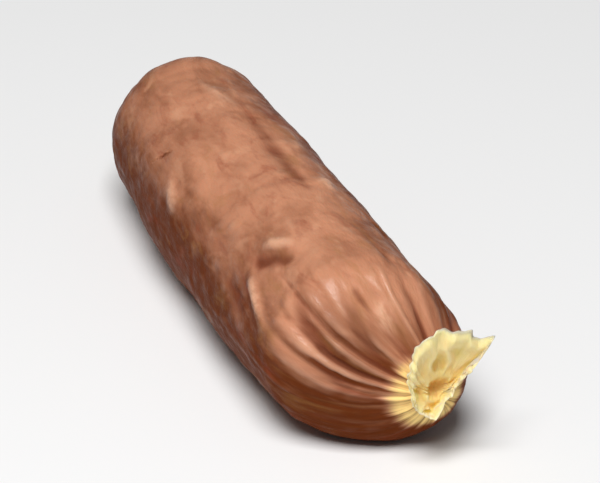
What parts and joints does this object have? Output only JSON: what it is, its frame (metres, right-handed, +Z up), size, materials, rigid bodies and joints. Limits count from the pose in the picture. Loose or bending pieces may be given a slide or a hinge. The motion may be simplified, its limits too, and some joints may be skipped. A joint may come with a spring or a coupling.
{
  "type": "dried sausage link",
  "caption": "Short, slightly curved dried sausage in a wrinkled natural casing, pleated at both ends into a frayed pale tail, one of which fans upward, resting on a flattened strip of its underside.",
  "frame": {"origin": "centre of the bounding box in plan, at the height of the flattened underside", "axes": "+X along the link from its plain end to the frayed end, +Y towards the inside of its curve, +Z up"},
  "size_m": [0.063, 0.018, 0.0169],
  "materials": {
    "sausage_casing": "dry brown casing with a soft sheen, paler cream at the frayed ends"
  },
  "bodies": {
    "root": {"sausage_link": "sausage_casing"}
  },
  "joints": []
}
